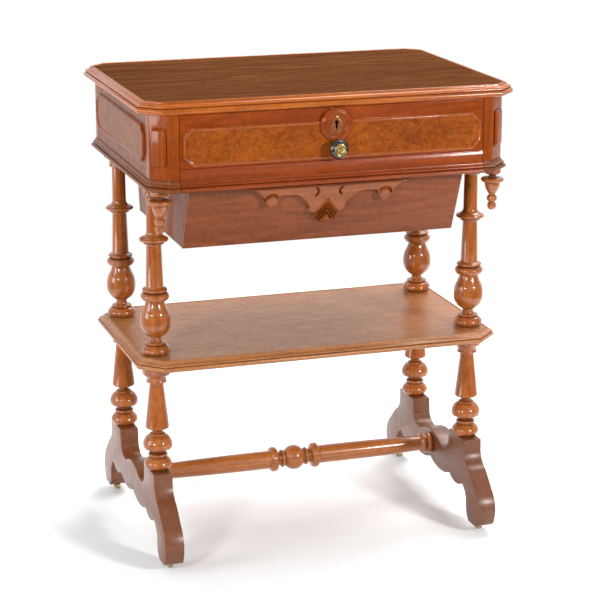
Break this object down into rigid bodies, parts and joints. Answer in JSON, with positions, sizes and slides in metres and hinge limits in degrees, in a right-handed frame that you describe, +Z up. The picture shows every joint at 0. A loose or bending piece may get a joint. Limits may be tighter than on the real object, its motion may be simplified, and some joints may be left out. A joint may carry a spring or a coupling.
{
  "type": "sewing table",
  "caption": "Work table with a locking drawer, a sewing hopper that slides out below it, a shelf on turned legs and trestle feet on casters.",
  "frame": {"origin": "on the floor, under the middle of the table's full width and of its full depth with the knob", "axes": "+Z up, -Y out of the drawer's front, +X to the right of someone facing the drawer"},
  "size_m": [0.61, 0.4552, 0.75],
  "materials": {
    "walnut": "satin varnish",
    "top_walnut": "polished varnish",
    "hopper_walnut": "satin varnish",
    "burl": "polished varnish",
    "pale_walnut": "satin varnish",
    "drawer_wood": "plain, unvarnished",
    "brass": "aged",
    "ebony": "polished black"
  },
  "bodies": {
    "table": {"table_top": "top_walnut", "corner_post_front_left": "walnut", "corner_post_front_right": "walnut", "corner_post_rear_left": "walnut", "corner_post_rear_right": "walnut", "case_side_left": "walnut", "case_side_right": "walnut", "case_back": "drawer_wood", "side_panel_left": "pale_walnut", "side_panel_right": "pale_walnut", "bearer_left": "walnut", "bearer_right": "walnut", "bearer_back": "walnut", "drawer_runner_left": "drawer_wood", "drawer_runner_right": "drawer_wood", "top_rail": "walnut", "upper_leg_front_left": "walnut", "upper_leg_front_right": "walnut", "upper_leg_rear_left": "walnut", "upper_leg_rear_right": "walnut", "shelf": "walnut", "lower_leg_front_left": "walnut", "lower_leg_front_right": "walnut", "lower_leg_rear_left": "walnut", "lower_leg_rear_right": "walnut", "trestle_foot_left": "walnut", "trestle_foot_right": "walnut", "stretcher": "walnut", "pendant_left": "walnut", "pendant_right": "walnut"},
    "drawer": {"drawer_front": "walnut", "drawer_burl_panel": "burl", "drawer_panel_moulding": "pale_walnut", "lock_boss": "walnut", "keyhole_plate": "brass", "drawer_knob": "ebony", "knob_rosette": "brass", "drawer_lock": "brass", "drawer_side_left": "drawer_wood", "drawer_side_right": "drawer_wood", "drawer_back": "drawer_wood", "drawer_bottom": "drawer_wood", "drawer_dividers": "drawer_wood"},
    "lock_bolt": {"lock_bolt": "brass"},
    "hopper": {"hopper_rail": "walnut", "hopper_front": "hopper_walnut", "hopper_back": "hopper_walnut", "hopper_side_left": "hopper_walnut", "hopper_side_right": "hopper_walnut", "hopper_bottom": "drawer_wood", "hopper_apron": "walnut"},
    "caster_front_left": {"caster_fork_front_left": "brass"},
    "wheel_front_left": {"caster_wheel_front_left": "brass"},
    "caster_front_right": {"caster_fork_front_right": "brass"},
    "wheel_front_right": {"caster_wheel_front_right": "brass"},
    "caster_rear_left": {"caster_fork_rear_left": "brass"},
    "wheel_rear_left": {"caster_wheel_rear_left": "brass"},
    "caster_rear_right": {"caster_fork_rear_right": "brass"},
    "wheel_rear_right": {"caster_wheel_rear_right": "brass"}
  },
  "joints": [
    {"name": "drawer_slide", "type": "slide", "parent": "table", "child": "drawer", "axis": [0, -1, 0], "range_m": [0, 0.28]},
    {"name": "lock_bolt_slide", "type": "slide", "parent": "drawer", "child": "lock_bolt", "axis": [0, 0, 1], "range_m": [0, 0.006]},
    {"name": "hopper_slide", "type": "slide", "parent": "table", "child": "hopper", "axis": [0, -1, 0], "range_m": [0, 0.24]},
    {"name": "swivel_front_left", "type": "hinge", "parent": "table", "child": "caster_front_left", "pos_m": [-0.265, -0.175, 0], "axis": [0, 0, 1], "continuous": true},
    {"name": "wheel_spin_front_left", "type": "hinge", "parent": "caster_front_left", "child": "wheel_front_left", "pos_m": [-0.265, -0.1715, 0.008], "axis": [1, 0, 0], "continuous": true},
    {"name": "swivel_front_right", "type": "hinge", "parent": "table", "child": "caster_front_right", "pos_m": [0.265, -0.175, 0], "axis": [0, 0, 1], "continuous": true},
    {"name": "wheel_spin_front_right", "type": "hinge", "parent": "caster_front_right", "child": "wheel_front_right", "pos_m": [0.265, -0.1715, 0.008], "axis": [1, 0, 0], "continuous": true},
    {"name": "swivel_rear_left", "type": "hinge", "parent": "table", "child": "caster_rear_left", "pos_m": [-0.265, 0.1952, 0], "axis": [0, 0, 1], "continuous": true},
    {"name": "wheel_spin_rear_left", "type": "hinge", "parent": "caster_rear_left", "child": "wheel_rear_left", "pos_m": [-0.265, 0.1987, 0.008], "axis": [1, 0, 0], "continuous": true},
    {"name": "swivel_rear_right", "type": "hinge", "parent": "table", "child": "caster_rear_right", "pos_m": [0.265, 0.1952, 0], "axis": [0, 0, 1], "continuous": true},
    {"name": "wheel_spin_rear_right", "type": "hinge", "parent": "caster_rear_right", "child": "wheel_rear_right", "pos_m": [0.265, 0.1987, 0.008], "axis": [1, 0, 0], "continuous": true}
  ]
}
